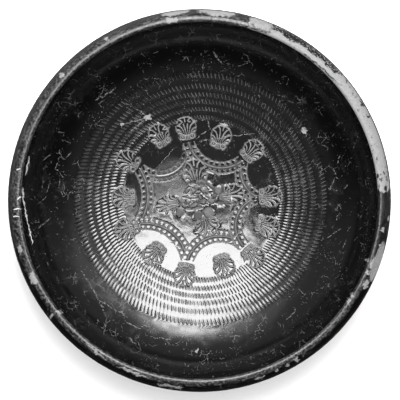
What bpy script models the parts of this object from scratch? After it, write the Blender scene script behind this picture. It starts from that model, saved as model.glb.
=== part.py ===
"""Black-glazed bowl: a wheel-thrown vessel on a ring foot, with an incurved rounded lip.

The floor carries a stamped medallion of palmettes joined by arcs of ovules, inside six turned rows
of rouletting. The origin is the middle of the foot's resting plane, +Z is up, sizes are in metres.
"""
import math

import bmesh
import bpy
from mathutils import Matrix, Vector

# The vessel
bowl_radius = 0.1200  # at the widest point, just under the lip
bowl_height = 0.0760  # resting plane to the crest of the lip
wall_thickness = 0.0065  # at the widest point
floor_thickness = 0.0085  # at the middle of the floor
lip_height = 0.0125  # widest point up to the crest
crest_inset = 0.0066  # crest of the lip, in from the widest point
lip_round = 0.0019  # inner rounding of the lip, from the crest to the mouth's edge
floor_power = 3.0  # how long the floor stays flat before it rises
wall_power = 1.8  # how squarely the wall turns upright

# The ring foot
foot_radius = 0.0565
foot_ring_width = 0.0095
foot_edge_round = 0.0012
foot_recess_height = 0.0085  # underside of the floor above the resting plane
junction_groove = 0.0025  # depth and height of the turned groove between the foot and the wall
underside_fillet = 0.0030
nipple_radius = 0.0070  # low cone left by the wheel at the middle of the underside
nipple_drop = 0.0010

# Rouletting: middle of each row as a share of the radius inside the wall
rouletting_rows = (0.453, 0.500, 0.542, 0.580, 0.628, 0.686)
rouletting_depth = 0.0003

# The stamps
palmette_length = 0.0152
palmette_width = 0.0132
leaf_pairs = 4
leaf_turn = math.radians(24.0)  # from one leaf to the next
leaf_length_share = 0.80  # how far a leaf runs in from the palmette's outline to its heart
leaf_fill = 0.88  # width of a leaf against the space it has
leaf_taper = 0.35  # how much wider a leaf is towards its tip
leaf_rise = 0.0008
volute_radius = 0.0017
volute_rise = 0.0009
volute_spacing = 0.0046  # between the middles of a palmette's two volutes
heart_distance = 0.0038  # from a palmette's base to the point its leaves spring from
relief_root = 0.00012  # how far each raised form reaches into the floor at its edge

# Linking arcs: a ridge between two rows of ovules
ridge_width = 0.0012
ridge_rise = 0.0006
ovule_length = 0.0026
ovule_width = 0.0022
ovule_rise = 0.0006
ovule_pitch = 0.0035
ovule_offset = 0.0023  # middle of an ovule from the middle of the ridge
arc_end_gap = 0.0022  # bare length between a ridge and the palmette it springs from
ovule_end_gap = 0.0032  # bare length of ridge beyond the first ovule

# The medallion's layout: places are shares of its radius, turns are in degrees from +X
medallion_share = 0.53  # the medallion's radius as a share of the radius inside the wall
linked_palmettes = (  # turn, distance from the middle, bow of the arc to the next one
    (100.5, 0.770, 0.180),
    (43.0, 0.762, 0.092),
    (2.9, 0.747, 0.165),
    (-46.0, 0.820, 0.193),
    (-101.3, 0.790, 0.145),
    (-158.6, 0.816, 0.097),
    (-208.7, 0.858, 0.228),
)
lone_palmettes = (  # turn, distance from the middle
    (71.3, 0.702),
    (-21.2, 0.767),
    (-69.5, 0.731),
    (-130.4, 0.735),
    (-182.1, 0.798),
    (-238.3, 0.803),
)
cross_palmettes = (  # turn, distance from the middle
    (99.0, 0.314),
    (13.0, 0.347),
    (-76.7, 0.250),
    (-171.0, 0.339),
)
cross_volute_radius = 0.0026
cross_volute_spacing = 0.0070
boss_radius = 0.0026

# The chip in the lip's outer shoulder: half sizes of the flattened ball that scoops it
chip_turn = math.radians(-19.0)
chip_lift = math.radians(40.0)  # up the shoulder from the widest point to the chip's middle
chip_depth = 0.0015
chip_ball_length = 0.0260
chip_ball_height = 0.0200
chip_ball_reach = 0.0060

# Fineness of the faceted solid
turning_steps = 48
plain_floor_share = 0.6  # place of the one ring on the floor inside the rouletting
outer_wall_points = 6
inner_wall_points = 6
shoulder_points = 5
lip_round_points = 2
leaf_sides = 5
volute_sides = 6
ovule_sides = 4
ridge_step = 0.0063

inner_radius = bowl_radius - wall_thickness
belly_height = bowl_height - lip_height
floor_height = foot_recess_height + floor_thickness
medallion_radius = inner_radius * medallion_share


def inner_point(turn):
    """Radius and height of the inner surface, from its middle (0) to where it is upright (pi / 2)."""
    depth = belly_height - floor_height
    radius = inner_radius * math.sin(turn) ** (2.0 / floor_power)
    return Vector((radius, floor_height + depth * (1.0 - math.cos(turn) ** (2.0 / wall_power))))


def outward(turn):
    """Direction through the wall, at right angles to the inner surface."""
    depth = belly_height - floor_height
    across = math.sin(turn)
    along = math.cos(turn)
    run = inner_radius * (2.0 / floor_power) * across ** (2.0 / floor_power - 1.0) * along
    rise = depth * (2.0 / wall_power) * along ** (2.0 / wall_power - 1.0) * across
    return Vector((rise, -run)).normalized()


def curve_turn(radius):
    """The inner curve's parameter at a radius."""
    return math.asin(min(1.0, (radius / inner_radius) ** (floor_power / 2.0)))


def curve_height(radius):
    """Height of the smooth inner surface at a radius."""
    return inner_point(curve_turn(radius)).y


def floor_profile():
    """The floor from its middle outwards: a plain medallion, then a trough for each rouletted row."""
    rows = [share * inner_radius for share in rouletting_rows]
    first_crest = (3.0 * rows[0] - rows[1]) / 2.0
    points = []
    for radius in (0.0, first_crest * plain_floor_share, first_crest):
        points.append(Vector((radius, curve_height(radius))))
    for row, next_row in zip(rows, rows[1:] + [2.0 * rows[-1] - rows[-2]]):
        crest = (row + next_row) / 2.0
        points.append(Vector((row, curve_height(row) - rouletting_depth)))
        points.append(Vector((crest, curve_height(crest))))
    return points


def lip_profile():
    """The mouth's edge, the rounded crest and the outer shoulder down to the widest point."""
    crest_radius = bowl_radius - crest_inset
    points = []
    for step in range(lip_round_points):
        angle = math.pi - (math.pi / 2.0) * step / lip_round_points
        across = crest_radius + lip_round * math.cos(angle)
        points.append(Vector((across, bowl_height - lip_round + lip_round * math.sin(angle))))
    for step in range(shoulder_points):
        angle = math.pi / 2.0 - (math.pi / 2.0) * step / shoulder_points
        across = crest_radius + crest_inset * math.cos(angle)
        points.append(Vector((across, belly_height + lip_height * math.sin(angle))))
    return points


def outer_wall_profile():
    """The outer wall, from the widest point down to the foot, thickening towards the floor."""
    start = curve_turn(foot_radius)
    points = []
    for step in range(outer_wall_points + 1):
        share = step / outer_wall_points
        turn = math.pi / 2.0 + (start - math.pi / 2.0) * share
        thickness = wall_thickness + (floor_thickness - wall_thickness) * share
        points.append(inner_point(turn) + outward(turn) * thickness)
    return points


def foot_profile(junction):
    """The ring foot under the wall's lowest point, then the underside in to the middle."""
    ring_inner = foot_radius - foot_ring_width
    return [
        Vector((foot_radius - junction_groove, junction.y - junction_groove / 2.0)),
        Vector((foot_radius, junction.y - junction_groove)),
        Vector((foot_radius, foot_edge_round)),
        Vector((foot_radius - foot_edge_round, 0.0)),
        Vector((ring_inner + foot_edge_round, 0.0)),
        Vector((ring_inner, foot_edge_round)),
        Vector((ring_inner - foot_edge_round, foot_recess_height - underside_fillet)),
        Vector((ring_inner - underside_fillet, foot_recess_height)),
        Vector((nipple_radius, foot_recess_height)),
        Vector((0.0, foot_recess_height - nipple_drop)),
    ]


def bowl_profile():
    """The whole turned section, from the middle of the floor to the middle of the underside."""
    floor = floor_profile()
    start = curve_turn(floor[-1].x)
    inner_wall = []
    for step in range(1, inner_wall_points + 1):
        turn = start + (math.pi / 2.0 - start) * step / inner_wall_points
        inner_wall.append(inner_point(turn))
    outer_wall = outer_wall_profile()
    return floor + inner_wall + lip_profile() + outer_wall + foot_profile(outer_wall[-1])


def height_on_floor(section, radius):
    """Height of the turned floor at a radius, read between the points of its section."""
    for inner, outer in zip(section, section[1:]):
        if inner.x <= radius <= outer.x:
            return inner.y + (outer.y - inner.y) * (radius - inner.x) / (outer.x - inner.x)
    return belly_height


def polar(turn, distance):
    """A point of the floor's plan."""
    return Vector((distance * math.cos(turn), distance * math.sin(turn), 0.0))


def add_pad(relief, middle, heading, length, width, rise, sides, taper=0.0):
    """A low raised form, peaked in the middle: an oval of a few sides in plan, one corner at its tip."""
    pad = bmesh.ops.create_cone(relief, cap_ends=True, segments=sides, radius1=1.0, radius2=0.0, depth=1.0)
    edge = [point for point in pad["verts"] if point.co.z < 0.0]
    peak = [point for point in pad["verts"] if point.co.z > 0.0]
    cap = [face for face in edge[0].link_faces if peak[0] not in face.verts]
    root = bmesh.ops.poke(relief, faces=cap)["verts"]
    for point in edge:
        tip, side = point.co.y, point.co.x
        point.co = Vector((tip, side * (1.0 + taper * tip), -relief_root))
    peak[0].co = Vector((taper / 2.0, 0.0, rise))
    root[0].co.z = -3.0 * relief_root
    size = Matrix.Diagonal((length / 2.0, width / 2.0, 1.0, 1.0))
    place = Matrix.Translation(middle) @ Matrix.Rotation(heading, 4, "Z") @ size
    bmesh.ops.transform(relief, matrix=place, verts=edge + peak + root)


def leaf_reach(turn):
    """Distance from the heart to the palmette's oval outline, at a turn from its axis."""
    half_length = (palmette_length - volute_radius) / 2.0
    half_width = palmette_width / 2.0
    offset = heart_distance - (palmette_length - half_length)
    square = (math.cos(turn) / half_length) ** 2 + (math.sin(turn) / half_width) ** 2
    slant = offset * math.cos(turn) / half_length ** 2
    rest = (offset / half_length) ** 2 - 1.0
    return (-slant + math.sqrt(slant * slant - square * rest)) / square


def add_palmette(relief, turn, distance, curl_radius, curl_spacing):
    """A palmette of raised leaves around a heart, with two volutes at its base, its tip outwards."""
    base = distance - palmette_length / 2.0
    heart = polar(turn, base + heart_distance)
    for leaf in range(-leaf_pairs, leaf_pairs + 1):
        lean = leaf * leaf_turn
        reach = leaf_reach(lean)
        length = reach * leaf_length_share
        middle = reach - length / 2.0
        width = middle * leaf_turn * leaf_fill
        centre = heart + polar(turn + lean, middle)
        add_pad(relief, centre, turn + lean, length, width, leaf_rise, leaf_sides, taper=leaf_taper)
    for side in (-0.5, 0.5):
        curl = polar(turn, base + curl_radius) + polar(turn + math.pi / 2.0, side * curl_spacing)
        add_pad(relief, curl, turn, 2.0 * curl_radius, 2.0 * curl_radius, volute_rise, volute_sides)


def arc_circle(start, end, bow):
    """Middle, radius and end turns of the circle through two points that bows towards the axis."""
    chord = end - start
    half = chord.length / 2.0
    radius = (half * half + bow * bow) / (2.0 * bow)
    inward = Vector((chord.y, -chord.x, 0.0)).normalized()
    if inward.dot(start + end) > 0.0:
        inward.negate()
    middle = (start + end) / 2.0 - inward * (radius - bow)
    first = (start - middle).to_2d()
    last = (end - middle).to_2d()
    return middle, radius, math.atan2(first.y, first.x), last.angle_signed(first)


def add_arc(relief, start, end, bow):
    """A ridge between two rows of ovules, along a circle from one palmette's base to the next."""
    middle, radius, first_turn, sweep = arc_circle(start, end, bow)
    gap = math.copysign(arc_end_gap / radius, sweep)
    first_turn += gap
    sweep -= 2.0 * gap
    section = []
    for across, height in ((-0.5, -relief_root), (0.5, -relief_root), (0.0, ridge_rise)):
        place = middle + polar(first_turn, radius + across * ridge_width)
        section.append(relief.verts.new((place.x, place.y, height)))
    face = relief.faces.new(section)
    ring = [face] + list(face.edges) + section
    steps = max(3, round(abs(sweep) * radius / ridge_step))
    bmesh.ops.spin(relief, geom=ring, cent=middle, axis=(0.0, 0.0, 1.0), angle=sweep, steps=steps)
    row_start = first_turn + math.copysign(ovule_end_gap / radius, sweep)
    row_sweep = sweep - math.copysign(2.0 * ovule_end_gap / radius, sweep)
    for side in (-1.0, 1.0):
        row_radius = radius + side * ovule_offset
        count = max(1, round(abs(row_sweep) * row_radius / ovule_pitch))
        for ovule in range(count + 1):
            turn = row_start + row_sweep * ovule / count
            place = middle + polar(turn, row_radius)
            add_pad(relief, place, turn, ovule_width, ovule_length, ovule_rise, ovule_sides)


def build_relief(section):
    """All the stamped relief as one flat layout, draped on the floor of the turned section."""
    relief = bmesh.new()
    bases = []
    for turn, share, bow in linked_palmettes:
        distance = share * medallion_radius
        add_palmette(relief, math.radians(turn), distance, volute_radius, volute_spacing)
        bases.append(polar(math.radians(turn), distance - palmette_length / 2.0))
    for start, end, palmette in zip(bases, bases[1:] + bases[:1], linked_palmettes):
        add_arc(relief, start, end, palmette[2] * medallion_radius)
    for turn, share in lone_palmettes:
        distance = share * medallion_radius
        add_palmette(relief, math.radians(turn), distance, volute_radius, volute_spacing)
    for turn, share in cross_palmettes:
        distance = share * medallion_radius
        add_palmette(relief, math.radians(turn), distance, cross_volute_radius, cross_volute_spacing)
    add_pad(relief, Vector(), 0.0, 2.0 * boss_radius, 2.0 * boss_radius, volute_rise, volute_sides)
    bmesh.ops.recalc_face_normals(relief, faces=relief.faces)
    rouletting_start = (3.0 * rouletting_rows[0] - rouletting_rows[1]) / 2.0 * inner_radius
    for point in relief.verts:
        radius = point.co.to_2d().length
        if point.co.z < 0.0 and radius > rouletting_start:
            point.co.z -= rouletting_depth
        point.co.z += height_on_floor(section, radius)
    return relief


def mesh_object(name, shape, collection):
    """An object from a bmesh, in a collection."""
    mesh = bpy.data.meshes.new(name)
    shape.to_mesh(mesh)
    shape.free()
    made = bpy.data.objects.new(name, mesh)
    collection.objects.link(made)
    return made


def as_cutter(made):
    """Mark an object as a guide that only shapes the bowl."""
    made.hide_render = True
    made.display_type = "WIRE"
    return made


def glaze_material():
    """Black gloss slip, dense and slightly lustrous."""
    material = bpy.data.materials.new("black_glaze")
    material.use_nodes = True
    shader = material.node_tree.nodes["Principled BSDF"]
    shader.inputs["Base Color"].default_value = (0.012, 0.012, 0.012, 1.0)
    shader.inputs["Roughness"].default_value = 0.25
    shader.inputs["Metallic"].default_value = 0.0
    return material


def build_chip(cutters):
    """A shallow flake out of the lip's outer shoulder, cut by the side of a flattened ball."""
    ball = bmesh.new()
    bmesh.ops.create_icosphere(ball, subdivisions=3, radius=1.0)
    distance = bowl_radius - crest_inset + crest_inset * math.cos(chip_lift)
    height = belly_height + lip_height * math.sin(chip_lift)
    lean = math.atan2(math.sin(chip_lift) / lip_height, math.cos(chip_lift) / crest_inset)
    size = Matrix.Diagonal((chip_ball_reach, chip_ball_length, chip_ball_height, 1.0))
    away = Matrix.Translation(Vector((chip_ball_reach - chip_depth, 0.0, 0.0)))
    leaning = Matrix.Rotation(-lean, 4, "Y")
    on_shoulder = Matrix.Translation(Vector((distance, 0.0, height)))
    around = Matrix.Rotation(chip_turn, 4, "Z")
    bmesh.ops.transform(ball, matrix=around @ on_shoulder @ leaning @ away @ size, verts=ball.verts)
    return as_cutter(mesh_object("chip_cutter", ball, cutters))


def build_bowl(collection, section, relief, chip):
    """The bowl: its section turned about +Z, joined with the relief, less the chip."""
    outline = bmesh.new()
    points = [outline.verts.new((point.x, 0.0, point.y)) for point in section]
    for first, second in zip(points, points[1:]):
        outline.edges.new((first, second))
    bowl = mesh_object("bowl", outline, collection)
    turned = bowl.modifiers.new("turned", "SCREW")
    turned.axis = "Z"
    turned.angle = 2.0 * math.pi
    turned.screw_offset = 0.0
    turned.steps = turning_steps
    turned.render_steps = turning_steps
    turned.use_merge_vertices = True
    turned.merge_threshold = 0.00005
    turned.use_smooth_shade = True
    stamped = bowl.modifiers.new("stamped", "BOOLEAN")
    stamped.operation = "UNION"
    stamped.solver = "EXACT"
    stamped.use_self = True
    stamped.object = relief
    chipped = bowl.modifiers.new("chipped", "BOOLEAN")
    chipped.operation = "DIFFERENCE"
    chipped.solver = "EXACT"
    chipped.object = chip
    bowl.data.materials.append(glaze_material())
    return bowl


def main():
    for item in list(bpy.data.objects):
        bpy.data.objects.remove(item, do_unlink=True)
    parts = bpy.data.collections.new("black_glazed_bowl")
    cutters = bpy.data.collections.new("black_glazed_bowl_cutters")
    bpy.context.scene.collection.children.link(parts)
    bpy.context.scene.collection.children.link(cutters)
    section = bowl_profile()
    relief = as_cutter(mesh_object("stamped_relief", build_relief(section), cutters))
    build_bowl(parts, section, relief, build_chip(cutters))


main()
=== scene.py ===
import math
import random

import bmesh
import bpy
import numpy as np
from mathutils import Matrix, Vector


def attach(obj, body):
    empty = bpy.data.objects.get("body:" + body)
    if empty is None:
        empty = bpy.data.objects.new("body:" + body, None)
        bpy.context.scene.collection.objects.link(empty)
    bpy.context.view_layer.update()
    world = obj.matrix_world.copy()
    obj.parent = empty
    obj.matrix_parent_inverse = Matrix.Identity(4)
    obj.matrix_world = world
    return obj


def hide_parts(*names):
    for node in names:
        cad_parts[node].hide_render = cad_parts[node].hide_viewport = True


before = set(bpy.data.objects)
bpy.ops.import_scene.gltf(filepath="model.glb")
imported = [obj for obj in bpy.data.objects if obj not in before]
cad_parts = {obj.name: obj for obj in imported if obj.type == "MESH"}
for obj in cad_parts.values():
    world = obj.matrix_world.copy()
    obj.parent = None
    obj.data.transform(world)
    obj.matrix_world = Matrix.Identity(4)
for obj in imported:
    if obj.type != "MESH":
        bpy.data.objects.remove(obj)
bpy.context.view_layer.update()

# The bowl: one wheel-thrown vessel of light fired clay under a dense black gloss slip. It was turned
# on a wheel with its ring foot, its floor was stamped with small dies and rouletted with a notched
# wheel while the clay was leather-hard, and it was dipped and fired once.
bowl_radius = 0.1200
bowl_height = 0.0760
wall_thickness = 0.0065
floor_thickness = 0.0085
lip_height = 0.0125
crest_inset = 0.0066
lip_round = 0.0019
floor_power = 3.0
wall_power = 1.8
foot_radius = 0.0565
foot_ring_width = 0.0095
foot_edge_round = 0.0012
foot_recess_height = 0.0085
junction_groove = 0.0025
underside_fillet = 0.0030
nipple_radius = 0.0070
nipple_drop = 0.0010
inner_radius = bowl_radius - wall_thickness
belly_height = bowl_height - lip_height
floor_height = foot_recess_height + floor_thickness


def inner_point(turn):
    """Radius and height of the inner surface, from its middle (0) to where it is upright (pi / 2)."""
    depth = belly_height - floor_height
    radius = inner_radius * math.sin(turn) ** (2.0 / floor_power)
    return Vector((radius, floor_height + depth * (1.0 - math.cos(turn) ** (2.0 / wall_power))))


def outward(turn):
    """Direction through the wall, at right angles to the inner surface."""
    depth = belly_height - floor_height
    across = math.sin(turn)
    along_wall = math.cos(turn)
    run = inner_radius * (2.0 / floor_power) * across ** (2.0 / floor_power - 1.0) * along_wall
    rise = depth * (2.0 / wall_power) * along_wall ** (2.0 / wall_power - 1.0) * across
    return Vector((rise, -run)).normalized()


def curve_turn(radius):
    """The inner curve's parameter at a radius."""
    return math.asin(min(1.0, (radius / inner_radius) ** (floor_power / 2.0)))


def curve_height(radius):
    """Height of the smooth inner surface at an array of radii."""
    share = np.clip(1.0 - np.minimum(radius / inner_radius, 1.0) ** floor_power, 0.0, 1.0)
    return floor_height + (belly_height - floor_height) * (1.0 - share ** (1.0 / wall_power))


# The turned section, from the middle of the floor over the lip to the middle of the underside. It has
# rings where the rouletting goes, of which each row has its place as a share of the radius inside the
# wall, its strokes' length and number, how unevenly they are spaced, and the turn where they crowd most.
roulette_rows = (
    (0.4545, 0.0036, 184, 0.050, -10.0),
    (0.5010, 0.0037, 177, 0.050, -15.0),
    (0.5420, 0.0039, 180, 0.050, -40.0),
    (0.5810, 0.0039, 178, 0.015, 0.0),
    (0.6270, 0.0043, 185, 0.050, 0.0),
    (0.6860, 0.0045, 197, 0.035, 30.0),
)
stroke_rings = (-0.50, -0.29, 0.0, 0.29, 0.50)  # across a row, as shares of its strokes' length
section = []
floor_ring_gap = 0.0013
first_stroke = roulette_rows[0][0] * inner_radius - roulette_rows[0][1] * 0.5
floor_rings = round(first_stroke / floor_ring_gap)
for ring in range(floor_rings):
    radius = first_stroke * ring / floor_rings
    section.append((radius, float(curve_height(radius))))
rows_from = len(section)
for share, stroke_length, *_ in roulette_rows:
    for step in stroke_rings:
        radius = share * inner_radius + stroke_length * step
        section.append((radius, float(curve_height(radius))))
rows_to = len(section) - 1
wall_rings = 22
start = curve_turn(section[-1][0])
for step in range(1, wall_rings + 1):
    point = inner_point(start + (math.pi / 2.0 - start) * step / wall_rings)
    section.append((point.x, point.y))
inside_to = len(section) - 1
mouth_rings = 5
crest_radius = bowl_radius - crest_inset
mouth_radius = crest_radius - lip_round
edge_height = bowl_height - lip_round
for step in range(1, mouth_rings):
    share = step / mouth_rings
    radius = inner_radius + (mouth_radius - inner_radius) * share
    section.append((radius, belly_height + (edge_height - belly_height) * share))
round_rings = 6
for step in range(round_rings):
    angle = math.pi - (math.pi / 2.0) * step / round_rings
    radius = crest_radius + lip_round * math.cos(angle)
    section.append((radius, edge_height + lip_round * math.sin(angle)))
shoulder_rings = 12
for step in range(shoulder_rings):
    angle = math.pi / 2.0 - (math.pi / 2.0) * step / shoulder_rings
    radius = crest_radius + crest_inset * math.cos(angle)
    section.append((radius, belly_height + lip_height * math.sin(angle)))
lip_to = len(section)
outer_rings = 14
start = curve_turn(foot_radius)
for step in range(outer_rings + 1):
    share = step / outer_rings
    turn = math.pi / 2.0 + (start - math.pi / 2.0) * share
    thickness = wall_thickness + (floor_thickness - wall_thickness) * share
    point = inner_point(turn) + outward(turn) * thickness
    section.append((point.x, point.y))
junction = section[-1][1]
ring_inner = foot_radius - foot_ring_width
for radius, height in (
    (foot_radius - junction_groove, junction - junction_groove / 2.0),
    (foot_radius, junction - junction_groove),
    (foot_radius, foot_edge_round),
    (foot_radius - foot_edge_round, 0.0),
    (ring_inner + foot_edge_round, 0.0),
    (ring_inner, foot_edge_round),
    (ring_inner - foot_edge_round, foot_recess_height - underside_fillet),
    (ring_inner - underside_fillet, foot_recess_height),
    (nipple_radius, foot_recess_height),
    (0.0, foot_recess_height - nipple_drop),
):
    section.append((radius, height))

# The vessel in its round: the section turned about the wheel's axis. Its faces are then cut finer by
# zones, most of all where the rouletting, the chip in the lip and the stamps need them.
turning_steps = 36
weld = 0.000001
shape = bmesh.new()
along = shape.verts.layers.float.new("along")
line = []
for place, (radius, height) in enumerate(section):
    point = shape.verts.new((radius, 0.0, height))
    point[along] = place
    line.append(point)
for first, second in zip(line, line[1:]):
    shape.edges.new((first, second))
bmesh.ops.spin(
    shape, geom=shape.verts[:] + shape.edges[:], axis=(0.0, 0.0, 1.0), cent=(0.0, 0.0, 0.0),
    angle=2.0 * math.pi, steps=turning_steps, use_merge=True,
)
bmesh.ops.remove_doubles(shape, verts=shape.verts, dist=weld)
bmesh.ops.recalc_face_normals(shape, faces=shape.faces)


def by_place(point):
    """A number that puts points in order, ring by ring and round the axis."""
    ring_room = 10.0  # more than a full turn
    return round(point[along]) * ring_room + math.atan2(point.co.y, point.co.x)


def by_corners(part):
    """A number that puts edges and faces in the order of their points."""
    corners = sorted(point.index for point in part.verts)
    return (corners[0] * len(shape.verts) + corners[1]) * len(shape.verts) + corners[-1]


shape.verts.sort(key=by_place)
shape.verts.index_update()
shape.edges.sort(key=by_corners)
shape.faces.sort(key=by_corners)
ring_slack = 0.01  # within this, two points are on the same ring of the section


def cut_round(first, last, cuts):
    """Cuts the edges that run round the axis between two rings of the section."""
    chosen = []
    for edge in shape.edges:
        one, two = (point[along] for point in edge.verts)
        if abs(one - two) < ring_slack and first - ring_slack < one < last + ring_slack:
            chosen.append(edge)
    bmesh.ops.subdivide_edges(shape, edges=chosen, cuts=cuts, use_grid_fill=True)


floor_zones = ((6, 9, 1), (10, 15, 2), (16, 24, 3), (25, rows_from - 1, 5))  # each from, to and its cuts
row_cuts = 27
wall_cuts = 4
coarse_rings = 3  # the flat of the recess and the nipple, which are left as they are
for first, last, cuts in floor_zones:
    cut_round(first, last, cuts)
cut_round(rows_from, rows_to, row_cuts)
cut_round(rows_to + 1, len(section) - 1 - coarse_rings, wall_cuts)

chip_turn = math.radians(-19.0)  # the chip's place round the lip, and the zone that is cut finer for it
chip_window = math.radians(8.5)
chip_from = inside_to + 3
chip_to = lip_to + 5
for run, cuts in ((True, 3), (False, 1)):
    chosen = []
    for edge in shape.edges:
        middle = (edge.verts[0].co + edge.verts[1].co) / 2.0
        one, two = (point[along] for point in edge.verts)
        near = abs(math.atan2(middle.y, middle.x) - chip_turn) < chip_window
        on_chip = chip_from - ring_slack < min(one, two) and max(one, two) < chip_to + ring_slack
        if near and on_chip and (abs(one - two) < ring_slack) == run:
            chosen.append(edge)
    bmesh.ops.subdivide_edges(shape, edges=chosen, cuts=cuts, use_grid_fill=True)

# The stamps' places: seven small palmettes pressed into the floor and linked by arcs, six lone ones
# between them, and four in a cross round the middle. The linked and the lone ones have their turn and
# their share of the medallion's radius, and the linked ones how far the next arc bows inwards.
palmette_length = 0.0152
palmette_width = 0.0132
medallion_share = 0.53
medallion_radius = inner_radius * medallion_share
linked_palmettes = (
    (100.5, 0.770, 0.180),
    (43.0, 0.762, 0.092),
    (2.9, 0.747, 0.165),
    (-46.0, 0.820, 0.193),
    (-101.3, 0.790, 0.145),
    (-158.6, 0.816, 0.097),
    (-208.7, 0.858, 0.228),
)
lone_palmettes = (
    (71.3, 0.702),
    (-21.2, 0.767),
    (-69.5, 0.731),
    (-130.4, 0.735),
    (-182.1, 0.798),
    (-238.3, 0.803),
)
cross_palmettes = (  # turn, share of the medallion, how far the fan is drawn out, its width and its rim
    (99.0, 0.318, 0.77, 1.15, 1.0),
    (9.5, 0.355, 0.85, 1.02, 1.0),
    (-73.5, 0.271, 1.00, 1.05, 1.0),
    (-171.5, 0.340, 0.78, 0.88, 0.0),
)
stamps = []  # each as the x and y of its middle and its heading
for turn, share, *_ in linked_palmettes + lone_palmettes + cross_palmettes:
    angle = math.radians(turn)
    distance = share * medallion_radius
    stamps.append((distance * math.cos(angle), distance * math.sin(angle), angle))


def arc_circle(start, end, bow):
    """Middle, radius and end turns of the circle through two points that bows towards the axis."""
    chord = end - start
    half = chord.length / 2.0
    radius = (half * half + bow * bow) / (2.0 * bow)
    inward = Vector((chord.y, -chord.x)).normalized()
    if inward.dot(start + end) > 0.0:
        inward.negate()
    middle = (start + end) / 2.0 - inward * (radius - bow)
    first = start - middle
    last = end - middle
    return middle, radius, math.atan2(first.y, first.x), last.angle_signed(first)


arcs = []
bases = []
for turn, share, bow in linked_palmettes:
    distance = share * medallion_radius - palmette_length / 2.0
    bases.append(Vector((distance * math.cos(math.radians(turn)), distance * math.sin(math.radians(turn)))))
for start_point, end_point, palmette in zip(bases, bases[1:] + bases[:1], linked_palmettes):
    arcs.append(arc_circle(start_point, end_point, palmette[2] * medallion_radius))


knot_radius = 0.0122
arc_half_width = 0.0036
end_slack = 0.04  # how far a band's cut goes on past its arc's ends, as a turn


def from_middle(x, y, middle_x, middle_y, heading):
    """Distances of places from a middle, along a heading and at right angles to it."""
    right = x - middle_x
    up = y - middle_y
    side = up * math.cos(heading) - right * math.sin(heading)
    return right * math.cos(heading) + up * math.sin(heading), side


def round_arc(x, y, middle, first, sweep):
    """Distance of places from an arc's middle, and their turn round it from the arc's start."""
    before = 0.2  # the turn before the start that still counts from there
    turn = (np.arctan2(y - middle.y, x - middle.x) - first) * math.copysign(1.0, sweep)
    return np.hypot(x - middle.x, y - middle.y), np.mod(turn + before, 2.0 * math.pi) - before


def near_stamps(x, y, margin):
    """True where a place is on a stamp, an arc's band or the middle, or within a margin of one."""
    found = x * x + y * y < (knot_radius + margin) ** 2
    for stamp in stamps:
        out, side = from_middle(x, y, *stamp)
        half_long = palmette_length / 2.0 + margin
        half_wide = palmette_width / 2.0 + margin
        found |= (out / half_long) ** 2 + (side / half_wide) ** 2 < 1.0
    for middle, radius, first, sweep in arcs:
        far, turn = round_arc(x, y, middle, first, sweep)
        band = np.abs(far - radius) < arc_half_width + margin
        found |= band & (turn > -end_slack) & (turn < abs(sweep) + end_slack)
    return found


def round_stamps(highest, margin):
    """The faces on or near a stamp, up to a ring of the section."""
    faces = []
    for face in shape.faces:
        if max(point[along] for point in face.verts) < highest + ring_slack:
            faces.append(face)
    middles = np.array([face.calc_center_median()[:2] for face in faces])
    return [face for face, near in zip(faces, near_stamps(middles[:, 0], middles[:, 1], margin)) if near]


wide_margin = 0.0010
close_margin = 0.0002
for margin in (wide_margin, close_margin):
    close = {edge for face in round_stamps(rows_from + 0.5, margin) for edge in face.edges}
    chosen = [edge for edge in shape.edges if edge in close]
    bmesh.ops.subdivide_edges(shape, edges=chosen, cuts=1, use_grid_fill=True)
close = set()
for face in round_stamps(rows_to, close_margin):
    if min(point[along] for point in face.verts) > rows_from - ring_slack:
        close.update(edge for edge in face.edges if abs(edge.verts[0][along] - edge.verts[1][along]) > 0.5)
chosen = [edge for edge in shape.edges if edge in close]
bmesh.ops.subdivide_edges(shape, edges=chosen, cuts=2, use_grid_fill=True)

# Every point back on the turned curve, because a cut leaves it on a flat chord. The wheel's notched
# tool ran a little off the bowl's middle, so the wall between two radii is shifted with the rows.
rows_off_right = 0.0009
rows_off_up = 0.0010
shift_from = 0.030  # where the shift starts and ends, and the widths over which it comes and goes
shift_to = 0.105
shift_comes = 0.018
shift_goes = 0.020
count = len(shape.verts)
place = np.empty(count)
spot = np.empty((count, 3))
for index, point in enumerate(shape.verts):
    place[index] = point[along]
    spot[index] = point.co
angle = np.arctan2(spot[:, 1], spot[:, 0])
rings = np.arange(len(section))
ring_radius = np.array([point[0] for point in section])
ring_height = np.array([point[1] for point in section])
radius = np.interp(place, rings, ring_radius)
height = np.interp(place, rings, ring_height)
inside = place <= inside_to
shift = np.clip((radius - shift_from) / shift_comes, 0.0, 1.0)
shift = shift * np.clip((shift_to - radius) / shift_goes, 0.0, 1.0)
off_middle = rows_off_right * np.cos(angle) + rows_off_up * np.sin(angle)
radius = np.where(inside, radius + off_middle * shift * shift * (3.0 - 2.0 * shift), radius)
height = np.where(inside, curve_height(radius), height)
x = radius * np.cos(angle)
y = radius * np.sin(angle)

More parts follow.
